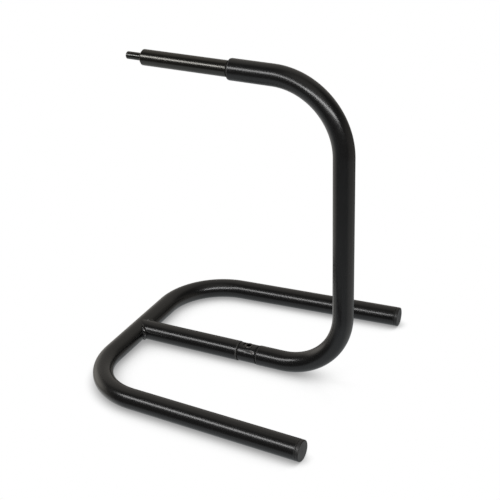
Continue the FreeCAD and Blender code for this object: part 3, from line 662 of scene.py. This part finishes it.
# End caps: a flange with a small moulding mark in its middle, and a hollow plug with three ribs
FLANGE, CAP_R, PLUG, PLUG_WALL, PLUG_FLOOR = 4*MM, TUBE_R - 0.1*MM, 16*MM, 1.8*MM, 0.9*MM
CORE_R = SHANK_R - 0.86*MM
RIBS, RIB_PITCH, RIB = 3, 4.5*MM, 1.2*MM
cap_section = [(FLANGE, 0, 0), (FLANGE - 0.08*MM, 0.5*MM, 0), (FLANGE - 0.08*MM, 0.7*MM, 0),
               (FLANGE, 0.8*MM, 0), (FLANGE, CAP_R, 1.3*MM), (0, CAP_R, 0.25*MM), (0, CORE_R, 0)]
for k in range(RIBS):
    back = -RIB_PITCH*k
    cap_section += [(back - RIB, SHANK_R, 0.15*MM), (back - 2*RIB, CORE_R, 0)]
    cap_section += [(back - RIB_PITCH, CORE_R, 0)] if k < RIBS - 1 else []
cap_section += [(-PLUG, CORE_R, 0.3*MM), (-PLUG, CORE_R - PLUG_WALL, 0),
                (-PLUG_FLOOR, CORE_R - PLUG_WALL, 0), (-PLUG_FLOOR, 0, 0)]
for side, hand in ((-1, "right"), (1, "left")):
    cap = turned(hand + "_moulded_cap", softened(cap_section),
                 standing(BAR_X + ARM_REACH, side*ARM_END_Y, TUBE_R,
                          Matrix.Rotation(side*SPLAY, 3, "Z")))
    fit(cap, "base", hand + "_end_cap")

# Pivot collar, its washer and its screws
COLLAR_SHANK, SHANK_CHAMFER, COLLAR_CHAMFER = 28*MM, 0.8*MM, 1*MM
BUSH_BORE, BUSH_STOP, SPIGOT_ROOM_R = 7.55*MM, 2*MM, 6.3*MM
SPOT_FACE_R, SPOT_FACE_DROP, EDGE_BREAK = 7.25*MM, 1.6*MM, 0.12*MM
RETAINING, RETAINING_TURN = 21*MM, 50
collar = turned("turned_collar", softened([
    (-COLLAR_SHANK, BUSH_BORE, 0), (-COLLAR_SHANK, SHANK_R - SHANK_CHAMFER, 0),
    (SHANK_CHAMFER - COLLAR_SHANK, SHANK_R, 0), (0, SHANK_R, 0),
    (0, COLLAR_R - COLLAR_CHAMFER, 0.15*MM), (COLLAR_CHAMFER, COLLAR_R, 0.25*MM),
    (COLLAR_LENGTH - COLLAR_CHAMFER, COLLAR_R, 0.25*MM),
    (COLLAR_LENGTH, COLLAR_R - COLLAR_CHAMFER, 0.15*MM), (COLLAR_LENGTH, SPIGOT_ROOM_R, 0),
    (BUSH_STOP, SPIGOT_ROOM_R, 0), (BUSH_STOP, BUSH_BORE, 0)]),
    stem_axis, closed=True, sides=128)
lock_axis = standing(COLLAR_X + COLLAR_LENGTH/2, 0, TUBE_R, UP)
retaining = [standing(COLLAR_X + RETAINING, 0, TUBE_R, Matrix.Rotation(
    math.radians(RETAINING_TURN + 120*k), 3, "X") @ UP) for k in range(3)]
drilled(collar, [
    drill(SPOT_FACE_R, COLLAR_R - SPOT_FACE_DROP, THROUGH, lock_axis),
    drill(LOCK_R + 0.05*MM, 0, THROUGH, lock_axis),
    drill(PIN_HOLE_R, 0, THROUGH, stem_pin, sides=48)]
    + [drill(PIN_HOLE_R, 0, THROUGH, axis, sides=48) for axis in retaining], edge=EDGE_BREAK)
fit(collar, "base", "pivot_collar")

WASHER, WASHER_R = 1*MM, 11*MM
washer = turned("moulded_washer", softened([
    (COLLAR_LENGTH, SPIGOT_ROOM_R, 0), (COLLAR_LENGTH + WASHER, SPIGOT_ROOM_R, 0),
    (COLLAR_LENGTH + WASHER, WASHER_R, 0.2*MM), (COLLAR_LENGTH, WASHER_R, 0.2*MM),
    (COLLAR_LENGTH, 9*MM, 0)]), stem_axis, closed=True)
fit(washer, "base", "thrust_washer")


def socket(top, across_flats, depth):
    """Rings of a hexagon socket with a lead-in and a drilled bottom."""
    corner = across_flats/math.sqrt(3)
    return [(top, corner + 0.25*MM), (top - 0.25*MM, hexagon(across_flats)),
            (top - 0.45*MM, hexagon(across_flats)), (top - depth, hexagon(across_flats)),
            (top - depth, across_flats*0.42), (top - depth - across_flats*0.1, 0)]


# The lock screw's thread is a stack of rings whose outline turns with their height, between a
# flat point and a rounded top
THREAD_START, THREAD_LENGTH, THREAD_RINGS = 0.5*MM, 3*MM, 32
lock_rings = [(LOCK_BOTTOM, 0), (LOCK_BOTTOM, 4.4*MM), (LOCK_BOTTOM, 4.9*MM)]
for k in range(THREAD_RINGS + 1):
    at = THREAD_START + THREAD_LENGTH*k/THREAD_RINGS
    lock_rings.append((LOCK_BOTTOM + at, thread(LOCK_R, LOCK_PITCH, at)))
lock_rings += [(LOCK_TOP - 0.38*MM, 5.55*MM), (LOCK_TOP - 0.1*MM, 5.35*MM),
               (LOCK_TOP - 0.02*MM, 5.25*MM), (LOCK_TOP, 5.1*MM), (LOCK_TOP, 4.9*MM)]
lock_screw = turned("threaded_lock_screw",
                    lock_rings + socket(LOCK_TOP, LOCK_SOCKET, LOCK_SOCKET_DEPTH), lock_axis)
fit(lock_screw, "lock_screw", "lock_screw")

# Retaining screws: a slim dog point below a threaded head, all three in one mesh
DOG_BOTTOM, DOG_TOP, DOG_R, RETAIN_R = 5.1*MM, 7.1*MM, 1.25*MM, 2*MM
RETAIN_TOP = COLLAR_R - 0.4*MM
dogs = [turned(f"dog_screw_{k}", softened([
    (DOG_BOTTOM, 0, 0), (DOG_BOTTOM, DOG_R, 0.15*MM), (DOG_TOP, DOG_R, 0),
    (DOG_TOP, RETAIN_R, 0.1*MM), (RETAIN_TOP, RETAIN_R, 0.25*MM), (RETAIN_TOP, 1.6*MM, 0)])
    + socket(RETAIN_TOP, 2*MM, 1.8*MM), axis, sides=48) for k, axis in enumerate(retaining)]
shape = bmesh.new()
for dog in dogs:
    shape.from_mesh(dog.data)
    bpy.data.objects.remove(dog)
fit(shaded(shape, "dog_screws"), "base", "retaining_screws")

# Spindle rod, its rubber ring and the tip pin, all from the arm's mouth
ROD_R, ROD_SHANK_R, ROD_SHANK, RING = 9.5*MM, 8*MM, 40*MM, 2.4*MM
ROD_END, ROD_CHAMFER, PIN_END, PIN_R = 114.7*MM, 1.5*MM, 136*MM, 4.5*MM
TIP_THREAD_R, TIP_THREAD = 4*MM, 18*MM
tip_hole_r, tip_hole = TIP_THREAD_R + SLIP, ROD_END - TIP_THREAD - 0.15*MM
rod = turned("turned_rod", softened([
    (-ROD_SHANK, 0, 0), (-ROD_SHANK, ROD_SHANK_R - 0.8*MM, 0.2*MM),
    (0.8*MM - ROD_SHANK, ROD_SHANK_R, 0.2*MM), (RING, ROD_SHANK_R, 0), (RING, ROD_R, 0.6*MM),
    (ROD_END - ROD_CHAMFER, ROD_R, 0.35*MM), (ROD_END, ROD_R - ROD_CHAMFER, 0.3*MM),
    (ROD_END, 4.9*MM, 0.2*MM), (ROD_END - 0.6*MM, tip_hole_r, 0), (tip_hole, tip_hole_r, 0),
    (tip_hole, 0, 0)]), arm_axis)
fit(rod, "upright", "spindle_rod")

RING_BORE, RING_R = ROD_SHANK_R + SLIP, 10.3*MM
ring = turned("rubber_ring", softened([
    (0, RING_BORE, 0), (RING, RING_BORE, 0), (RING, RING_R, 0.5*MM), (0, RING_R, 0.5*MM),
    (0, 9*MM, 0)]), arm_axis, closed=True)
fit(ring, "upright", "rod_ring")

pin_start = ROD_END - TIP_THREAD
pin = turned("turned_tip_pin", softened([
    (pin_start, 0, 0), (pin_start, TIP_THREAD_R - 0.8*MM, 0.1*MM),
    (pin_start + 0.8*MM, TIP_THREAD_R, 0.1*MM), (ROD_END - 0.7*MM, TIP_THREAD_R, 0),
    (ROD_END, PIN_R, 0), (PIN_END - 1*MM, PIN_R, 0.3*MM), (PIN_END, PIN_R - 1*MM, 0.3*MM),
    (PIN_END, 0, 0)]), arm_axis)
fit(pin, "upright", "tip_pin")

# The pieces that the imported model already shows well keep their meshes
for node, piece in frame["nodes"].items():
    piece.data.materials.clear()
    piece.data.materials.append(FINISHES[SLOTS[node]])


# Floor, light and camera

def direction(azimuth, elevation):
    """Direction from the object; the azimuth is counted from the front, -Y, towards +X."""
    around, up = math.radians(azimuth), math.radians(elevation)
    return Vector((math.sin(around)*math.cos(up), -math.cos(around)*math.cos(up), math.sin(up)))


# The object's shade on the floor: how far it reaches, how open the sky has to be for white paper,
# how fast the shade deepens, and its darkest level
SHADE_REACH, SHADE_FROM, SHADE_POWER, SHADE_DARK = 0.12, 0.8, 1.8, 0.3


def looked_at(tree):
    """1 where the camera looks at a surface, straight or through glass, and 0 for other rays."""
    path = add_node(tree, "ShaderNodeLightPath").outputs
    return calculate(tree, "ADD", path["Is Camera Ray"], path["Is Transmission Ray"])


def pale_floor():
    """Matt paper that is white to the camera except where the object keeps light from it."""
    material = bpy.data.materials.new("pale_floor")
    material.use_nodes = True
    tree = material.node_tree
    tree.nodes.clear()
    openness = add_node(tree, "ShaderNodeAmbientOcclusion", {"Distance": SHADE_REACH},
                        samples=16).outputs["AO"]
    clear = calculate(tree, "MINIMUM", calculate(tree, "DIVIDE", openness, SHADE_FROM), 1.0)
    shade = calculate(tree, "MULTIPLY_ADD", calculate(tree, "POWER", clear, SHADE_POWER),
                      1 - SHADE_DARK, SHADE_DARK)
    paper = add_node(tree, "ShaderNodeEmission", {"Color": (1, 1, 1, 1), "Strength": shade})
    lit = add_node(tree, "ShaderNodeBsdfDiffuse", {"Color": (0.8, 0.8, 0.8, 1)})
    mixed = add_node(tree, "ShaderNodeMixShader",
                     {0: looked_at(tree), 1: lit.outputs[0], 2: paper.outputs[0]})
    add_node(tree, "ShaderNodeOutputMaterial", {0: mixed.outputs[0]})
    return material


bpy.ops.mesh.primitive_circle_add(vertices=96, radius=7, fill_type="NGON")
floor = bpy.context.object
floor.name = "floor"
floor.data.materials.append(pale_floor())
floor.visible_glossy = False

# The room: soft patches of light as (azimuth, elevation, inner and outer reach, level) on dim
# walls, and under the horizon the pale floor, which the pieces mirror from here
ROOM = [(-162, 34, 30, 66, 0.36), (-104, -14, 15, 52, 0.42), (-94, 4, 8, 26, 0.6),
        (35, 62, 10, 34, 0.3), (110, -22, 20, 52, 0.22)]
DIM_ROOM, GROUND = 0.06, 0.4
GROUND_LOW, GROUND_HIGH = -0.55, -0.34
WARM, COOL = (1.05, 1.0, 0.92, 1), (0.94, 1.0, 1.04, 1)
world = bpy.data.worlds.new("studio")
bpy.context.scene.world = world
world.use_nodes = True
sky = world.node_tree
sky.nodes.clear()
towards = add_node(sky, "ShaderNodeTexCoord").outputs["Generated"]
height = add_node(sky, "ShaderNodeSeparateXYZ", {0: towards}).outputs["Z"]
mirrored = eased(sky, height, GROUND_LOW, GROUND_HIGH, GROUND, 0.0)
level = DIM_ROOM
for azimuth, elevation, inner, outer, strength in ROOM:
    facing = add_node(sky, "ShaderNodeVectorMath", {0: towards, 1: direction(azimuth, elevation)},
                      operation="DOT_PRODUCT")
    patch = eased(sky, facing.outputs["Value"], math.cos(math.radians(outer)),
                  math.cos(math.radians(inner)), 0.0, strength)
    level = calculate(sky, "ADD", patch, level)
walls = add_node(sky, "ShaderNodeBackground", {"Color": WARM, "Strength": level})
ground = add_node(sky, "ShaderNodeBackground", {"Color": COOL, "Strength": mirrored})
dim = add_node(sky, "ShaderNodeAddShader", {0: walls.outputs[0], 1: ground.outputs[0]})
white = add_node(sky, "ShaderNodeBackground", {"Color": (1, 1, 1, 1), "Strength": 1.0})
shown = add_node(sky, "ShaderNodeMixShader",
                 {0: looked_at(sky), 1: dim.outputs[0], 2: white.outputs[0]})
add_node(sky, "ShaderNodeOutputWorld", {0: shown.outputs[0]})

LAMP_AWAY = 2.0
LAMP_AIM = Vector((0, 0, 0.15))


def softbox(name, azimuth, elevation, width, height, level):
    """Softbox whose face shows at the level given."""
    light = bpy.data.lights.new(name, "AREA")
    light.shape = "RECTANGLE"
    light.size, light.size_y = width, height
    light.energy = level*math.pi*width*height
    lamp = bpy.data.objects.new(name, light)
    lamp.visible_camera = False
    bpy.context.scene.collection.objects.link(lamp)
    lamp.location = LAMP_AIM + LAMP_AWAY*direction(azimuth, elevation)
    lamp.rotation_euler = (LAMP_AIM - lamp.location).to_track_quat("-Z", "Y").to_euler()


softbox("left_softbox", azimuth=-29.5, elevation=34, width=1.35, height=0.36, level=7.8)
softbox("right_softbox", azimuth=26, elevation=28, width=2.2, height=0.32, level=11.0)

# The camera's place and turn, and its focal length in pixels of a 500 pixel wide frame, were
# fitted to the outlines of the tubes
CAMERA_PLACE = (0.552912, -1.04334, 0.734446)
YAW, PITCH, ROLL = 0.472, 0.456, -0.036
FOCAL, FRAME_WIDTH, SENSOR = 1077.843, 500, 36
lens = bpy.data.cameras.new("camera")
lens.sensor_width = SENSOR
lens.lens = SENSOR*FOCAL/FRAME_WIDTH
camera = bpy.data.objects.new("camera", lens)
bpy.context.scene.collection.objects.link(camera)
camera.matrix_world = (Matrix.Translation(CAMERA_PLACE)
                       @ Matrix.Rotation(YAW, 4, "Z") @ Matrix.Rotation(math.pi/2 - PITCH, 4, "X")
                       @ Matrix.Rotation(ROLL, 4, "Z"))
bpy.context.scene.camera = camera
bpy.context.scene.view_settings.view_transform = "Standard"
